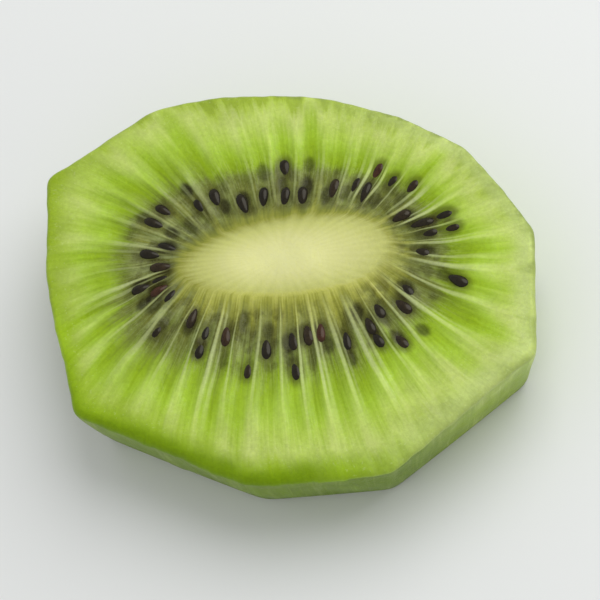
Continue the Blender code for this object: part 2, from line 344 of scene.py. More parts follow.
radius, height, upper_share, lower_share, paint_starts, paint_ends = turned_section()
columns = RAYS * COLUMNS_PER_RAY
rows = len(radius)
angle = (np.arange(columns) * 2.0 * math.pi / columns)[None, :]
radius, height = radius[:, None], height[:, None]
upper_share, lower_share, paint = upper_share[:, None], lower_share[:, None], paint_ends[:, None]

# The slice's points, from the round section to the peeled outline
station = station_of(radius) - wall_ridges(angle, paint) / (TURNED_RADIUS - CORE_TURNED)
x, y = place_on_face(angle, station)
on_upper = np.minimum(paint, 1.0)
dome = CORE_DOME * (1.0 - np.clip(on_upper + 1.0, 0.0, 1.0) ** 2)
crest = ray_crest(angle, ray_varies) * ease(*CHAMBER_STARTS, on_upper) * (1.0 - ease(*RAY_FADES, on_upper))
pared = BEVEL_DROP * np.maximum(np.cos(ray_drift(angle) - BEVEL_FACING), 0.0) ** 2
pared = pared * ease(1.0 - BEVEL_WIDTH, 1.0, on_upper)
swell = GEL_SWELL * round_each_seed(x, y, seeds_upper, GEL_REACH, np.ones(len(seeds_upper)))
swell += SUNK_SWELL * GEL_SWELL * round_each_seed(x, y, sunk_upper, GEL_REACH, np.ones(len(sunk_upper)))
upper_relief = dome - chamber_depth(on_upper) + RAY_HEIGHT * crest - pared + swell + knife_marks(x, y)
hollow = chamber_depth(station) * (LOWER_HOLLOW[0] - LOWER_HOLLOW[1] * ray_crest(angle, ray_varies))
lower_relief = hollow + np.maximum(knife_marks(x, y), 0.0)
level = height / THICKNESS
z = height + upper_share * upper_relief + lower_share * lower_relief + level * wedge_rise(x, y)
darkness = []  # painted shade round the seeds that show, and the darkness of the sunk ones, on the upper and on the lower cut
for seeds, reach, strength in (
    (seeds_upper, SEED_SHADE_REACH, SEED_SHADE_STRENGTH),
    (seeds_lower, SEED_SHADE_REACH, SEED_SHADE_STRENGTH),
    (sunk_upper, SUNK_REACH, SUNK_STRENGTH),
    (sunk_lower, SUNK_REACH, SUNK_STRENGTH),
):
    darkness.append(round_each_seed(x, y, seeds, reach, spread.uniform(*strength, len(seeds))))
# The painted shade round the seeds that show, and the sunk seeds seen in the gel, on each cut
seed_shade = np.where(level > 0.5, darkness[0], darkness[1])
sunk = np.where(level > 0.5, darkness[2], darkness[3])
x = x + (1.0 - level) * AXIS_LEAN[0]
y = y + (1.0 - level) * AXIS_LEAN[1]

# Its faces: a fan at the middle of each cut, and four-cornered faces between the rows
points = np.stack([x, y, z], axis=-1).reshape(-1, 3)
middles = np.array([points[:columns].mean(axis=0), points[-columns:].mean(axis=0)])
points = np.concatenate([points, middles])
column = np.arange(columns)
fan_columns = np.stack([column + 0.5, column, column + 1.0], axis=-1)
upper_fan = np.stack([np.full(columns, rows * columns), column, (column + 1) % columns], axis=-1)
lower_row = (rows - 1) * columns
lower_fan = [np.full(columns, rows * columns + 1), lower_row + (column + 1) % columns, lower_row + column]
lower_fan = np.stack(lower_fan, axis=-1)
corner_rows = np.arange(rows - 1)[:, None, None] + np.array([0, 1, 1, 0])
corner_columns = column[None, :, None] + np.array([0, 0, 1, 1])
skin = (corner_rows * columns + corner_columns % columns).reshape(-1, 4)

# Each corner's paint: the number of the ray that it lies on, and its station, or 1 to 2 down the wall
fan_paint = np.full((columns, 3), -1.0)
fan_paint[:, 1:] = paint_starts[0]
lower_fan_paint = np.full((columns, 3), -1.0)
lower_fan_paint[:, 1:] = paint_ends[-1]
skin_paint = np.stack([paint_starts[:-1], paint_ends[1:], paint_ends[1:], paint_starts[:-1]], axis=-1)
skin_paint = np.broadcast_to(skin_paint[:, None, :], (rows - 1, columns, 4))
skin_phase = np.broadcast_to(corner_columns, (rows - 1, columns, 4))
phases = np.concatenate([fan_columns.ravel(), skin_phase.ravel(), fan_columns[:, [0, 2, 1]].ravel()])
paints = np.concatenate([fan_paint.ravel(), skin_paint.ravel(), lower_fan_paint.ravel()])

flesh_mesh = bpy.data.meshes.new("kiwi_flesh")
flesh_mesh.from_pydata(points, [], upper_fan.tolist() + skin.tolist() + lower_fan.tolist())
ray_map = flesh_mesh.uv_layers.new(name="rays")
ray_map.data.foreach_set("uv", np.stack([phases / COLUMNS_PER_RAY, paints], axis=-1).ravel())
for name, values in (("painted_seed_shade", seed_shade), ("sunk_seed", sunk)):
    attribute = flesh_mesh.attributes.new(name, "FLOAT", "POINT")
    attribute.data.foreach_set("value", np.append(values.ravel(), [0.0, 0.0]))
box_low, box_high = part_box("kiwi_slice")
aside = np.array([*(box_low + box_high)[:2]]) / 2.0 - (points.min(axis=0) + points.max(axis=0))[:2] / 2.0
set_down = np.array([*aside, -points[:, 2].min()])
flesh_mesh.vertices.foreach_set("co", (points + set_down).ravel())
flesh_mesh.shade_smooth()
flesh_mesh.update()
flesh = bpy.data.objects.new("kiwi_flesh", flesh_mesh)
bpy.context.scene.collection.objects.link(flesh)


def seen(red, green, blue):
    """A colour as a screen shows it, 0 to 255, turned into the light that Blender works in."""
    shares = np.array([red, green, blue]) / 255.0
    light = np.where(shares <= 0.04045, shares / 12.92, ((shares + 0.055) / 1.055) ** 2.4)
    return (*light.tolist(), 1.0)


def add_node(tree, kind, feeds, **settings):
    """A node with its settings made. A feed's key is a socket, and its value a number, a colour or the
    output that runs into it."""
    node = tree.nodes.new(kind)
    for name, value in settings.items():
        setattr(node, name, value)
    for socket, value in feeds.items():
        if isinstance(value, bpy.types.NodeSocket):
            tree.links.new(value, node.inputs[socket])
        else:
            node.inputs[socket].default_value = value
    return node


def maths(tree, operation, *values):
    """One step of arithmetic."""
    return add_node(tree, "ShaderNodeMath", dict(enumerate(values)), operation=operation).outputs[0]


def product(tree, first, *others):
    """All the values multiplied together."""
    for other in others:
        first = maths(tree, "MULTIPLY", first, other)
    return first


def total(tree, first, *others):
    """All the values added up."""
    for other in others:
        first = maths(tree, "ADD", first, other)
    return first


def rise(tree, value, low, high, bottom=0.0, top=1.0):
    """Goes smoothly from bottom, where value is low, to top, where it is high."""
    feeds = {"Value": value, "From Min": low, "From Max": high, "To Min": bottom, "To Max": top}
    return add_node(tree, "ShaderNodeMapRange", feeds, interpolation_type="SMOOTHSTEP").outputs[0]


MIX_SHARE, MIX_FIRST, MIX_SECOND, MIX_RESULT = 0, 6, 7, 2  # a Mix node's sockets for colours


def mixed(tree, share, first, second):
    """The first colour, with a share of the second laid over it."""
    feeds = {MIX_SHARE: share, MIX_FIRST: first, MIX_SECOND: second}
    return add_node(tree, "ShaderNodeMix", feeds, data_type="RGBA").outputs[MIX_RESULT]


def colours_along(tree, value, stops):
    """Colours that change along a value. A stop is the value and the colour there, as seen."""
    low, high = stops[0][0], stops[-1][0]
    share = maths(tree, "DIVIDE", maths(tree, "SUBTRACT", value, low), high - low)
    node = add_node(tree, "ShaderNodeValToRGB", {"Fac": share})
    elements = node.color_ramp.elements
    elements[0].color, elements[1].color = seen(*stops[0][1]), seen(*stops[-1][1])
    for place, colour in stops[1:-1]:
        elements.new((place - low) / (high - low)).color = seen(*colour)
    return node.outputs["Color"]


def scaled(tree, colour, lightness):
    """A colour made lighter or darker."""
    feeds = {0: colour, "Scale": lightness}
    return add_node(tree, "ShaderNodeVectorMath", feeds, operation="SCALE").outputs[0]


def stretched(tree, vector, x, y, z):
    """A vector with each of its parts made longer by its own factor."""
    return add_node(tree, "ShaderNodeVectorMath", {0: vector, 1: (x, y, z)}, operation="MULTIPLY").outputs[0]


def clouds(tree, vector, scale, detail, roughness=0.5):
    """Soft noise between 0 and 1 round 0.5."""
    feeds = {"Vector": vector, "Scale": scale, "Detail": detail, "Roughness": roughness}
    return add_node(tree, "ShaderNodeTexNoise", feeds).outputs["Fac"]


def start_group(name, takes, gives):
    """An empty node group with sockets of these names and kinds, its input sockets and its outputs."""
    group = bpy.data.node_groups.new(name, "ShaderNodeTree")
    for socket, kind in takes.items():
        group.interface.new_socket(socket, in_out="INPUT", socket_type=kind)
    for socket, kind in gives.items():
        group.interface.new_socket(socket, in_out="OUTPUT", socket_type=kind)
    return group, group.nodes.new("NodeGroupInput").outputs, group.nodes.new("NodeGroupOutput").inputs


def use_group(tree, group, feeds):
    """The outputs of a node group placed in a tree."""
    return add_node(tree, "ShaderNodeGroup", feeds, node_tree=group).outputs


NUMBER, VECTOR = "NodeSocketFloat", "NodeSocketVector"


def make_round_group():
    """Turns the ray map into a place that has no seam: the ray's number goes once round a circle, and the
    station stands upright on it."""
    tree, given, out = start_group("round_the_core", {"Ray Map": VECTOR}, {"Round": VECTOR})
    parts = add_node(tree, "ShaderNodeSeparateXYZ", {0: given["Ray Map"]}).outputs
    turn = product(tree, parts["X"], 2.0 * math.pi / RAYS)
    feeds = {"X": maths(tree, "COSINE", turn), "Y": maths(tree, "SINE", turn), "Z": parts["Y"]}
    tree.links.new(add_node(tree, "ShaderNodeCombineXYZ", feeds).outputs[0], out["Round"])
    return tree


def make_ray_group():
    """The rays. Ray is 1 on a ray, about half on the twin that some have beside them, and 0 between. Fan is
    the soft pale spread on both sides of it, and Gap goes from 0 on a ray to 1 midway to the next. Tone is
    each ray's own number between 0 and 1, and Chamber each gap's. A ray wanders a little and has its own
    width."""
    takes = {"Ray Map": VECTOR, "Round": VECTOR}
    gives = {"Ray": NUMBER, "Fan": NUMBER, "Gap": NUMBER, "Tone": NUMBER, "Chamber": NUMBER}
    tree, given, out = start_group("kiwi_rays", takes, gives)
    parts = add_node(tree, "ShaderNodeSeparateXYZ", {0: given["Ray Map"]}).outputs
    sway = clouds(tree, stretched(tree, given["Round"], 9.0, 9.0, 1.7), 1.0, 1.0)
    phase = total(tree, parts["X"], rise(tree, sway, 0.2, 0.8, -0.1, 0.1))
    nearest = maths(tree, "FLOOR", total(tree, phase, 0.5))
    aside = maths(tree, "SUBTRACT", phase, nearest)
    distance = maths(tree, "ABSOLUTE", aside)
    number = maths(tree, "FLOORED_MODULO", nearest, float(RAYS))
    tone = add_node(tree, "ShaderNodeTexWhiteNoise", {"W": number}, noise_dimensions="1D").outputs["Value"]
    width = rise(tree, parts["Y"], 0.3, 0.8, 0.058, 0.09)
    width = product(tree, width, rise(tree, tone, 0.0, 1.0, 0.65, 1.4))
    ray = rise(tree, maths(tree, "DIVIDE", distance, width), 1.7, 0.4)
    twin_place = rise(tree, tone, 0.5, 1.0, 0.2, 0.36)
    off_twin = maths(tree, "ABSOLUTE", maths(tree, "SUBTRACT", aside, twin_place))
    twin = rise(tree, maths(tree, "DIVIDE", off_twin, width), 1.1, 0.3)
    twin = product(tree, twin, rise(tree, tone, 0.5, 0.56, 0.0, 0.55))
    tree.links.new(maths(tree, "MAXIMUM", ray, twin), out["Ray"])
    tree.links.new(rise(tree, distance, 0.42, 0.06), out["Fan"])
    tree.links.new(product(tree, distance, 2.0), out["Gap"])
    tree.links.new(tone, out["Tone"])
    gap_number = maths(tree, "FLOORED_MODULO", maths(tree, "FLOOR", phase), float(RAYS))
    gap_number = total(tree, gap_number, 0.5)
    own = add_node(tree, "ShaderNodeTexWhiteNoise", {"W": gap_number}, noise_dimensions="1D").outputs["Value"]
    tree.links.new(own, out["Chamber"])
    return tree


def make_fibre_group():
    """Fine threads that run outwards from the core: Fine is about six to a ray, Coarse about two."""
    gives = {"Fine": NUMBER, "Coarse": NUMBER}
    tree, given, out = start_group("kiwi_fibres", {"Round": VECTOR}, gives)
    tree.links.new(clouds(tree, stretched(tree, given["Round"], 44.0, 44.0, 2.6), 1.0, 3.0, 0.6), out["Fine"])
    tree.links.new(clouds(tree, stretched(tree, given["Round"], 15.0, 15.0, 1.8), 1.0, 2.0), out["Coarse"])
    return tree


CELL_SCALE = 2600.0  # these scales are noise features to the metre
SPECK_SCALE = 3400.0
MURK_SCALE = 560.0
MOTTLE_SCALE = 420.0
FILM_SCALE = 900.0
PATCH_SCALE = 150.0


def make_grain_group():
    """The cells of wet fruit: Cells is a fine soft grain, Patches a slow change over several millimetres,
    and Specks are single cells that stand out, where painted glints go."""
    gives = {"Cells": NUMBER, "Patches": NUMBER, "Specks": NUMBER}
    tree, given, out = start_group("kiwi_grain", {"Place": VECTOR}, gives)
    cells = clouds(tree, given["Place"], CELL_SCALE, 3.0, 0.65)
    specks = clouds(tree, given["Place"], SPECK_SCALE, 1.0)
    tree.links.new(cells, out["Cells"])
    tree.links.new(clouds(tree, given["Place"], PATCH_SCALE, 3.0), out["Patches"])
    tree.links.new(rise(tree, specks, 0.63, 0.74), out["Specks"])
    return tree


round_group = make_round_group()
ray_group = make_ray_group()
fibre_group = make_fibre_group()
grain_group = make_grain_group()

CHAMBER_COLOURS = (
    (-1.0, (224, 224, 162)),
    (-0.6, (217, 217, 152)),
    (-0.4, (207, 208, 139)),
    (-0.2, (192, 195, 118)),
    (-0.1, (178, 181, 106)),
    (-0.02, (158, 160, 84)),
    (0.05, (138, 142, 58)),
    (0.12, (113, 119, 48)),
    (0.2, (98, 106, 42)),
    (0.3, (107, 121, 42)),
    (0.4, (126, 151, 30)),
    (0.5, (138, 168, 22)),
    (0.62, (152, 184, 46)),
    (0.75, (167, 192, 76)),
    (0.88, (178, 197, 100)),
    (0.96, (166, 188, 76)),
    (1.0, (146, 168, 54)),
)
RAY_COLOURS = (
    (-1.0, (224, 224, 162)),
    (-0.4, (212, 213, 144)),
    (-0.1, (202, 203, 126)),
    (0.05, (176, 181, 104)),
    (0.15, (160, 167, 108)),
    (0.3, (168, 178, 126)),
    (0.45, (180, 196, 124)),
    (0.6, (192, 211, 122)),
    (0.75, (198, 213, 128)),
    (0.9, (202, 214, 132)),
    (1.0, (152, 174, 62)),
)
# Down the wall the colour grows darker and deeper green towards its foot: partly its own colour, partly
# painted shade
WALL_COLOURS = (
    (1.0, (170, 192, 86)),
    (1.1, (178, 199, 98)),
    (1.35, (154, 180, 54)),
    (1.7, (138, 164, 32)),
    (1.9, (132, 158, 26)),
    (2.0, (142, 168, 38)),
)
RIPE_COLOURS = (
    (-0.25, (206, 207, 130)),
    (-0.12, (191, 192, 102)),
    (-0.06, (179, 181, 88)),
    (0.0, (148, 151, 60)),
    (0.1, (110, 114, 38)),
    (0.25, (86, 90, 30)),
)
GEL_DARK = seen(48, 44, 10)
SEED_SUNK = seen(24, 16, 3)
RIM_SHADED_GREEN = seen(138, 166, 22)
RIM_LIT_PALE = seen(196, 208, 146)
PARED_GREEN_SHADE = seen(106, 138, 0)
EDGE_SHADE_OLIVE = seen(116, 132, 64)
RIM_LIME = seen(150, 186, 10)
PARED_WALL_SHADE = seen(106, 134, 0)
GEL_SHEEN_GREY = seen(160, 170, 112)
VEIN_PALE = seen(206, 219, 140)
WALL_DEEP = seen(132, 164, 40)
GLINT_PALE = seen(226, 236, 180)
PARED_FACING = math.radians(-122)  # the way the pared side's green faces, by the ray map's own angle
PARED_WAY = (math.cos(PARED_FACING), math.sin(PARED_FACING), 0.0)
FLESH_RELIEF = 0.12 * MM
FILM_RELIEF = 0.22 * MM


def make_flesh_material():
    """Wet kiwi flesh. Colour follows the station and the ray, with sunk seeds, fibres and cells over it."""
    material = bpy.data.materials.new("kiwi_flesh")
    material.use_nodes = True
    tree = material.node_tree
    shader = tree.nodes["Principled BSDF"]
    ray_map = add_node(tree, "ShaderNodeUVMap", {}, uv_map="rays").outputs["UV"]
    place = add_node(tree, "ShaderNodeTexCoord", {}).outputs["Object"]
    around = use_group(tree, round_group, {"Ray Map": ray_map})["Round"]
    rays = use_group(tree, ray_group, {"Ray Map": ray_map, "Round": around})
    fibres = use_group(tree, fibre_group, {"Round": around})
    grain = use_group(tree, grain_group, {"Place": place})
    fine, coarse = fibres["Fine"], fibres["Coarse"]
    cells, patches, specks = grain["Cells"], grain["Patches"], grain["Specks"]
    station = add_node(tree, "ShaderNodeSeparateXYZ", {0: ray_map}).outputs["Y"]
    across = add_node(tree, "ShaderNodeSeparateXYZ", {0: place}).outputs
    across_x, across_y = across["X"], across["Y"]
    # The painted shade round the seeds that show, and the sunk seeds
    seed_shade = add_node(tree, "ShaderNodeAttribute", {}, attribute_name="painted_seed_shade").outputs["Fac"]
    sunk = add_node(tree, "ShaderNodeAttribute", {}, attribute_name="sunk_seed").outputs["Fac"]
    facing = add_node(tree, "ShaderNodeVectorMath", {0: around, 1: PARED_WAY}, operation="DOT_PRODUCT")
    facing = facing.outputs["Value"]

    # Where the colours change: frayed by the fibres. The core is fuller at -Y and +X, the gel reaches further
    # out at -X and gives way to flesh more sharply at +X and +Y, and each chamber ends at its own place
    fray = rise(tree, fine, 0.25, 0.75, -0.05, 0.05)
    fray = total(tree, fray, rise(tree, coarse, 0.25, 0.75, -0.05, 0.05))
    fray = product(tree, fray, rise(tree, station, -0.2, 0.08))
    fuller = rise(tree, across_y, 6.5 * MM, -1.0 * MM, 0.045, -0.05)
    fuller = total(tree, fuller, rise(tree, across_x, 4.0 * MM, 11.0 * MM, 0.0, -0.05))
    fuller = product(tree, fuller, rise(tree, station, 0.25, 0.1))
    full_end = rise(tree, station, 0.05, -0.06, 0.0, -0.1)
    full_end = product(tree, full_end, rise(tree, across_x, 3.0 * MM, 9.0 * MM))
    longer = rise(tree, across_x, -6.0 * MM, -15.0 * MM, 0.0, -0.12)
    longer = product(tree, longer, rise(tree, station, 0.2, 0.35), rise(tree, station, 0.44, 0.58, 1.0, 0.6))
    sharper = rise(tree, across_x, 7.0 * MM, 15.0 * MM, 0.0, 0.5)
    sharper = maths(tree, "MAXIMUM", sharper, rise(tree, across_y, 4.0 * MM, 9.0 * MM))
    sharper = product(tree, sharper, rise(tree, station, 0.34, 0.46, -0.055, 0.07))
    sharper = product(tree, sharper, rise(tree, station, 0.18, 0.28))
    frayed = total(tree, station, fray, fuller, full_end, longer, sharper)
    bulge = product(tree, rays["Gap"], rise(tree, station, 0.1, 0.35, 0.06, -0.05))
    uneven = product(tree, rays["Gap"], rise(tree, station, 0.35, 0.6))
    uneven = product(tree, uneven, rise(tree, rays["Chamber"], 0.0, 1.0, -0.11, 0.08))
    chamber = colours_along(tree, total(tree, frayed, bulge, uneven), CHAMBER_COLOURS)

    # Riper, yellower gel along the core on one side
    by_core = product(tree, rise(tree, frayed, -0.25, -0.1), rise(tree, frayed, 0.25, 0.12))
    ripe = product(tree, by_core, rise(tree, across_y, 1.5 * MM, -1.5 * MM, 0.0, 0.9))
    chamber = mixed(tree, ripe, chamber, colours_along(tree, frayed, RIPE_COLOURS))

    # How strongly each ray shows: they start sooner at -Y, are fainter in the outer flesh and clearest at
    # -Y and +X. A fan is the soft pale spread beside a ray in the outer flesh
    ray_colour = colours_along(tree, frayed, RAY_COLOURS)
    sooner = product(tree, rise(tree, station, -0.02, 0.12), rise(tree, across_y, 3.0 * MM, -3.0 * MM))
    starts = maths(tree, "MAXIMUM", rise(tree, station, 0.06, 0.2), sooner)
    faint = rise(tree, across_y, -4.0 * MM, 12.0 * MM, 0.8, 0.4)
    faint = rise(tree, station, 0.42, 0.58, 1.0, faint)
    own_tone = rise(tree, rays["Tone"], 0.0, 1.0, 0.55, 1.0)
    strength = product(tree, starts, rise(tree, station, 0.95, 0.55, 0.2, 1.0), faint, own_tone)
    clear = rise(tree, across_y, 8.0 * MM, 1.0 * MM, 0.5, 1.0)
    clear = maths(tree, "MAXIMUM", clear, rise(tree, across_x, 2.0 * MM, 12.0 * MM, 0.5, 1.0))
    clear = product(tree, clear, rise(tree, across_x, -4.0 * MM, -12.0 * MM, 1.0, 0.9))
    ray = product(tree, rays["Ray"], strength, clear)
    fan = product(tree, rise(tree, station, 0.4, 0.75), rise(tree, station, 1.02, 0.9))
    fan = product(tree, fan, rise(tree, coarse, 0.3, 0.7, 0.1, 0.5), rays["Fan"])

    # In the gel lie pale greyish patches, a painted reflection of light off the wet gel, dark murk, fine
    # threads, the painted shade round each seed and the darkness of the sunk seeds, which the rays cover
    in_gel = product(tree, rise(tree, station, 0.0, 0.1), rise(tree, station, 0.6, 0.4))
    off_middle = maths(tree, "ABSOLUTE", maths(tree, "SUBTRACT", fine, 0.5))
    thread = product(tree, rise(tree, off_middle, 0.04, 0.01), in_gel, 0.18)
    off_ray = rise(tree, ray, 0.0, 1.0, 1.0, 0.35)
    # Painted reflection: pale greyish patches where light glances off the wet gel, mostly at -X
    painted_gel_sheen = product(tree, in_gel, rise(tree, across_x, -6.0 * MM, -13.0 * MM, 0.2, 0.8))
    painted_gel_sheen = product(tree, painted_gel_sheen, rise(tree, station, 0.45, 0.25), rise(tree, coarse, 0.42, 0.62))
    cut = mixed(tree, painted_gel_sheen, chamber, GEL_SHEEN_GREY)
    murk = rise(tree, clouds(tree, place, MURK_SCALE, 2.0), 0.48, 0.64, 0.0, 0.5)
    murk = product(tree, murk, in_gel, rise(tree, station, 0.5, 0.34))
    cut = mixed(tree, murk, cut, GEL_DARK)
    cut = mixed(tree, thread, cut, ray_colour)
    # Painted shade round each seed that shows, where no ray covers it
    cut = mixed(tree, product(tree, seed_shade, 0.7, off_ray), cut, GEL_DARK)
    cut = mixed(tree, product(tree, sunk, off_ray), cut, SEED_SUNK)
    cut = mixed(tree, maths(tree, "MAXIMUM", ray, fan), cut, ray_colour)

    # The rim: deeper green and darker at -X, partly painted shade away from the lamp; lighter at +X, painted
    # light on the side the lamp falls on; lime and then deep green, partly painted shade, on the pared side;
    # and a broken thin line of olive along the rest of its edge, painted shade where the rim turns down
    # Painted shade, with a deeper green, on the side away from the lamp
    leftwards = total(tree, product(tree, across_x, -1.0), product(tree, across_y, -0.35))
    painted_shade_left = rise(tree, leftwards, 6.0 * MM, 22.0 * MM, 0.0, 0.75)
    cut = mixed(tree, product(tree, painted_shade_left, rise(tree, station, 0.72, 0.97)), cut, RIM_SHADED_GREEN)
    # Painted light on the side the lamp falls on
    rightwards = total(tree, across_x, product(tree, across_y, 0.1))
    painted_light_right = rise(tree, rightwards, 0.0, 18.0 * MM, 0.0, 0.45)
    cut = mixed(tree, product(tree, painted_light_right, rise(tree, station, 0.8, 0.95)), cut, RIM_LIT_PALE)
    lime = product(tree, rise(tree, facing, 0.3, 0.75), rise(tree, station, 0.84, 0.96, 0.0, 0.75))
    cut = mixed(tree, lime, cut, RIM_LIME)
    # The pared rim's deep green: partly its own colour, partly painted shade
    pared_edge = total(tree, station, rise(tree, patches, 0.3, 0.7, -0.02, 0.02))
    pared_rim = product(tree, rise(tree, facing, 0.6, 0.95), rise(tree, pared_edge, 0.9, 0.98, 0.0, 0.85))
    cut = mixed(tree, pared_rim, cut, PARED_GREEN_SHADE)
    # Painted shade: a thin broken line where the rim turns down, away from the pared side
    olive = total(tree, station, rise(tree, coarse, 0.3, 0.7, -0.015, 0.015))
    olive = product(tree, rise(tree, olive, 0.955, 0.995), rise(tree, facing, 0.2, -0.5, 0.0, 0.75))
    olive = product(tree, olive, rise(tree, patches, 0.4, 0.6, 0.45, 1.0))
    cut = mixed(tree, olive, cut, EDGE_SHADE_OLIVE)

    # The wall, below the rim: deeper green and darker on the pared side and towards its foot, partly painted
    # shade, with upright pale veins, and patches of faintly lighter cells, painted glints where the knife
    # left the cells wet and rough
    down_wall = total(tree, station, rise(tree, patches, 0.3, 0.7, -0.2, 0.2))
    wall = colours_along(tree, down_wall, WALL_COLOURS)
    # Painted shade, with a deeper green, on the pared side of the wall
    wall = mixed(tree, rise(tree, facing, 0.1, 0.5, 0.0, 0.95), wall, PARED_WALL_SHADE)
    streaks = clouds(tree, stretched(tree, around, 16.0, 16.0, 0.5), 1.0, 4.0, 0.6)
    threads = clouds(tree, stretched(tree, around, 70.0, 70.0, 1.4), 1.0, 2.0)
    veined = rise(tree, streaks, 0.52, 0.72, 0.0, 0.5)
    veined = maths(tree, "MAXIMUM", veined, rise(tree, threads, 0.56, 0.72, 0.0, 0.28))
    veined = product(tree, veined, rise(tree, facing, 0.1, 0.55, 1.0, 0.45))
    wall = mixed(tree, rise(tree, streaks, 0.48, 0.28, 0.0, 0.5), wall, WALL_DEEP)
    wall = mixed(tree, veined, wall, VEIN_PALE)
    # Painted glints: faintly lighter wet cells in patches
    wet_glint_patch = product(tree, rise(tree, patches, 0.42, 0.68), rise(tree, cells, 0.4, 0.7, 0.0, 0.07))
    wall = mixed(tree, wet_glint_patch, wall, GLINT_PALE)
    colour = mixed(tree, rise(tree, station, 1.0, 1.04), cut, wall)

    # Light and dark of fibres, cells, mottling and larger patches, and painted glints on single cells that
    # catch the light
    fibre_light = product(tree, rise(tree, fine, 0.2, 0.8, -0.05, 0.05), rise(tree, station, -0.12, 0.14))
    grained = rise(tree, station, -0.4, 0.1, 0.2, 1.0)
    cell_light = product(tree, rise(tree, cells, 0.2, 0.8, -0.08, 0.08), grained)
    patch_light = rise(tree, patches, 0.2, 0.8, 0.93, 1.07)
    mottle = rise(tree, clouds(tree, place, MOTTLE_SCALE, 2.0), 0.25, 0.75, -0.06, 0.06)
    mottle = product(tree, mottle, rise(tree, station, 0.35, 0.55))
    colour = scaled(tree, colour, total(tree, fibre_light, cell_light, patch_light, mottle))
    off_pared = rise(tree, pared_rim, 0.0, 0.6, 1.0, 0.0)
    # Painted glints: pale specks on single wet cells in the outer flesh
    painted_glints = product(tree, specks, rise(tree, station, 0.5, 1.0, 0.0, 0.12), off_pared)
    colour = mixed(tree, painted_glints, colour, GLINT_PALE)

    # The shine: wetter in the gel, duller at the rim, under a thin uneven film
    wet_gel = product(tree, in_gel, 0.14)
    roughness = maths(tree, "SUBTRACT", rise(tree, cells, 0.2, 0.8, 0.34, 0.5), wet_gel)
    dull_rim = rise(tree, station, 0.93, 1.0, 1.0, 0.35)
    dull_rim = product(tree, dull_rim, rise(tree, pared_rim, 0.0, 0.8, 1.0, 0.3))
    coat = product(tree, rise(tree, patches, 0.35, 0.65, 0.1, 0.28), dull_rim)
    fibre_relief = product(tree, fine, rise(tree, station, -0.12, 0.14, 0.0, 0.6))
    relief = total(tree, fibre_relief, product(tree, cells, 0.8))
    bump = add_node(tree, "ShaderNodeBump", {"Strength": 0.5, "Distance": FLESH_RELIEF, "Height": relief})
    film = clouds(tree, place, FILM_SCALE, 3.0)
    film_bump = add_node(tree, "ShaderNodeBump", {"Strength": 1.0, "Distance": FILM_RELIEF, "Height": film})

    tree.links.new(colour, shader.inputs["Base Color"])
    tree.links.new(roughness, shader.inputs["Roughness"])
    tree.links.new(coat, shader.inputs["Coat Weight"])
    tree.links.new(bump.outputs["Normal"], shader.inputs["Normal"])
    tree.links.new(film_bump.outputs["Normal"], shader.inputs["Coat Normal"])
    shader.inputs["Coat Roughness"].default_value = 0.08
    shader.inputs["IOR"].default_value = 1.36
    shader.inputs["Specular Tint"].default_value = (0.85, 0.95, 0.3, 1.0)
    shader.inputs["Subsurface Weight"].default_value = 0.35
    shader.inputs["Subsurface Radius"].default_value = (1.0, 1.0, 0.35)
    shader.inputs["Subsurface Scale"].default_value = 1.6 * MM
    return material


flesh_mesh.materials.append(make_flesh_material())
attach(flesh, "root")
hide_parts("kiwi_slice")

# ---- The seeds ----------------------------------------------------------------------------------------
# Small hard drops, blunt outwards and slimmer towards the core, half sunk in the gel of both cuts. They are
# dark brown to black, a few of them red-brown, and the wet gel leaves them glossy.

SEED_HEIGHT = 1.1 * MM
SEED_POINT = 0.45
SEED_CLEAR_OF_REST = 0.04 * MM
SEED_ROUND = 14
SEED_RINGS = 9


def seed_points(seeds, heights):
    """Points of each seed as (seed, ring, step, 3). Along goes from -0.5 at the slim end to 0.5, and a
    ring's half width is that of a ball times 1 - SEED_POINT (0.5 - along)."""
    x, y, heading, length, width = seeds.T[:5, :, None, None]
    along = -0.5 * np.cos(np.linspace(0.0, math.pi, SEED_RINGS))[None, :, None]
    slim = np.sqrt(np.maximum(0.25 - along**2, 0.0)) * (1.0 - SEED_POINT * (0.5 - along))
    turn = (np.arange(SEED_ROUND) * 2.0 * math.pi / SEED_ROUND)[None, None, :]
    ahead = length * along + 0.0 * turn
    aside = width * slim * np.cos(turn)
    up = heights[:, None, None] + SEED_HEIGHT * slim * np.sin(turn)
    points_x = x + ahead * np.cos(heading) - aside * np.sin(heading)
    points_y = y + ahead * np.sin(heading) + aside * np.cos(heading)
    return np.stack([points_x, points_y, up], axis=-1)


upper_surface = THICKNESS - chamber_depth(seeds_upper[:, 5])
upper_surface = upper_surface + wedge_rise(seeds_upper[:, 0], seeds_upper[:, 1])
heights_upper = upper_surface + seeds_upper[:, 6] - 0.5 * SEED_HEIGHT
heights_lower = np.full(len(seeds_lower), 0.5 * SEED_HEIGHT + SEED_CLEAR_OF_REST)
seeds_below = seeds_lower + np.array([*AXIS_LEAN, 0.0, 0.0, 0.0, 0.0, 0.0])
drops = np.concatenate([seed_points(seeds_upper, heights_upper), seed_points(seeds_below, heights_lower)])
drops = drops + set_down
drop_count = len(drops)

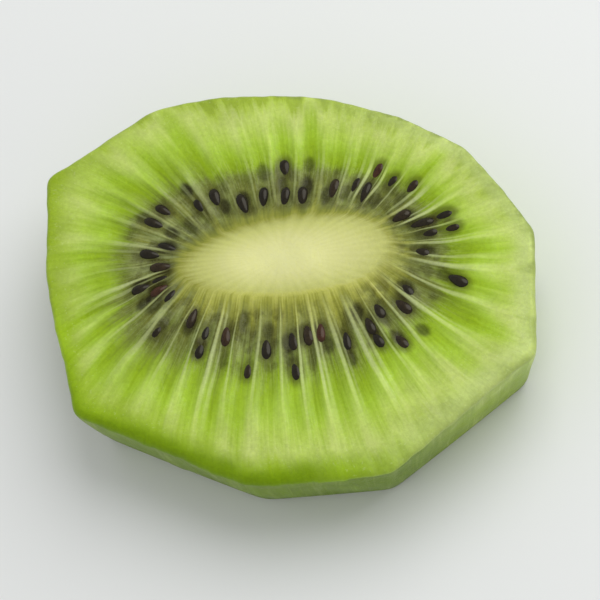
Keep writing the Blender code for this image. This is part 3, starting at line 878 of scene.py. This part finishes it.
# Each seed's two ends are one point each, and the rings between them are joined round
tips = drops[:, [0, -1], 0]
rings = drops[:, 1:-1].reshape(drop_count, -1, 3)
per_seed = rings.shape[1] + 2
seed_vertices = np.concatenate([rings, tips], axis=1).reshape(-1, 3)
step = np.arange(SEED_ROUND)
following = (step + 1) % SEED_ROUND
ring_starts = (np.arange(SEED_RINGS - 3) * SEED_ROUND)[:, None]
sides = [ring_starts + following, ring_starts + step, ring_starts + SEED_ROUND + step]
sides = np.stack([*sides, ring_starts + SEED_ROUND + following], axis=-1).reshape(-1, 4)
last = (SEED_RINGS - 3) * SEED_ROUND
slim_end = np.stack([np.full(SEED_ROUND, per_seed - 2), step, following], axis=-1)
blunt_end = np.stack([np.full(SEED_ROUND, per_seed - 1), last + following, last + step], axis=-1)
first_of_each = (np.arange(drop_count) * per_seed)[:, None, None]
seed_faces = (sides + first_of_each).reshape(-1, 4).tolist()
seed_faces += (np.concatenate([slim_end, blunt_end]) + first_of_each).reshape(-1, 3).tolist()
seed_mesh = bpy.data.meshes.new("kiwi_seeds")
seed_mesh.from_pydata(seed_vertices, [], seed_faces)
seed_tone = seed_mesh.attributes.new("seed_tone", "FLOAT", "POINT")
seed_tone.data.foreach_set("value", np.repeat(spread.random(drop_count), per_seed))
seed_mesh.shade_smooth()
seed_mesh.update()
kiwi_seeds = bpy.data.objects.new("kiwi_seeds", seed_mesh)
bpy.context.scene.collection.objects.link(kiwi_seeds)

SEED_COLOURS = (
    (0.0, (17, 14, 8)),
    (0.5, (26, 20, 10)),
    (0.92, (38, 27, 14)),
    (0.97, (64, 30, 20)),
    (1.0, (76, 36, 26)),
)
PIT_SCALE = 5200.0  # pits to the metre
PIT_DEPTH = 0.03 * MM


def make_seed_material():
    """A seed's hard, finely pitted coat under a film of gel."""
    material = bpy.data.materials.new("kiwi_seed")
    material.use_nodes = True
    tree = material.node_tree
    shader = tree.nodes["Principled BSDF"]
    place = add_node(tree, "ShaderNodeTexCoord", {}).outputs["Object"]
    cells = use_group(tree, grain_group, {"Place": place})["Cells"]
    tone = add_node(tree, "ShaderNodeAttribute", {}, attribute_name="seed_tone").outputs["Fac"]
    colour = colours_along(tree, tone, SEED_COLOURS)
    colour = scaled(tree, colour, rise(tree, cells, 0.2, 0.8, 0.5, 1.6))
    pits = add_node(tree, "ShaderNodeTexVoronoi", {"Vector": place, "Scale": PIT_SCALE}).outputs["Distance"]
    bump = add_node(tree, "ShaderNodeBump", {"Strength": 0.4, "Distance": PIT_DEPTH, "Height": pits})
    tree.links.new(colour, shader.inputs["Base Color"])
    tree.links.new(rise(tree, cells, 0.2, 0.8, 0.22, 0.4), shader.inputs["Roughness"])
    tree.links.new(bump.outputs["Normal"], shader.inputs["Normal"])
    shader.inputs["IOR"].default_value = 1.25
    shader.inputs["Specular Tint"].default_value = (0.95, 0.85, 0.55, 1.0)
    shader.inputs["Coat Weight"].default_value = 0.3
    shader.inputs["Coat Roughness"].default_value = 0.06
    return material


seed_mesh.materials.append(make_seed_material())
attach(kiwi_seeds, "root")

# ---- Floor, light and camera --------------------------------------------------------------------------
# A plain pale floor, a soft lamp above the right-hand side and white light from all round. The camera
# looks down on the slice from the photograph's direction, turned as the photograph shows the slice.

FLOOR_HALF = 1.5
FLOOR_COLOUR = seen(226, 228, 227)
LAMP_PLACE = Vector((0.22, 0.20, 0.34))
LAMP_SIZE = 0.5
LAMP_WATTS = 1.5
ROOM_LIGHT = 0.62
CAMERA_AZIMUTH = math.radians(37)
CAMERA_ELEVATION = math.radians(62)
CAMERA_ROLL = math.radians(-40)
CAMERA_DISTANCE = 0.61
CAMERA_LENS = 360.0

floor_corners = FLOOR_HALF * np.array([(-1, -1, 0), (1, -1, 0), (1, 1, 0), (-1, 1, 0)])
floor_mesh = bpy.data.meshes.new("floor")
floor_mesh.from_pydata(floor_corners, [], [(0, 1, 2, 3)])
floor = bpy.data.objects.new("floor", floor_mesh)
bpy.context.scene.collection.objects.link(floor)
floor_material = bpy.data.materials.new("pale_floor")
floor_material.use_nodes = True
floor_shader = floor_material.node_tree.nodes["Principled BSDF"]
floor_shader.inputs["Base Color"].default_value = FLOOR_COLOUR
floor_shader.inputs["Roughness"].default_value = 0.6
floor_mesh.materials.append(floor_material)

slice_middle = (cad_low + cad_high) / 2.0
lamp_data = bpy.data.lights.new("lamp", "AREA")
lamp_data.shape = "DISK"
lamp_data.size = LAMP_SIZE
lamp_data.energy = LAMP_WATTS
lamp = bpy.data.objects.new("lamp", lamp_data)
lamp.location = LAMP_PLACE
lamp.rotation_euler = (slice_middle - LAMP_PLACE).to_track_quat("-Z", "Y").to_euler()
bpy.context.scene.collection.objects.link(lamp)
room = bpy.data.worlds.new("room")
room.use_nodes = True
room.node_tree.nodes["Background"].inputs["Color"].default_value = (1.0, 1.0, 1.0, 1.0)
room.node_tree.nodes["Background"].inputs["Strength"].default_value = ROOM_LIGHT
bpy.context.scene.world = room
bpy.context.scene.view_settings.view_transform = "Standard"

back = Vector((
    math.sin(CAMERA_AZIMUTH) * math.cos(CAMERA_ELEVATION),
    -math.cos(CAMERA_AZIMUTH) * math.cos(CAMERA_ELEVATION),
    math.sin(CAMERA_ELEVATION),
))
camera_data = bpy.data.cameras.new("camera")
camera_data.lens = CAMERA_LENS
camera = bpy.data.objects.new("camera", camera_data)
camera.location = slice_middle + back * CAMERA_DISTANCE
turned = (-back).to_track_quat("-Z", "Y") @ Quaternion((0.0, 0.0, 1.0), CAMERA_ROLL)
camera.rotation_euler = turned.to_euler()
bpy.context.scene.collection.objects.link(camera)
bpy.context.scene.camera = camera
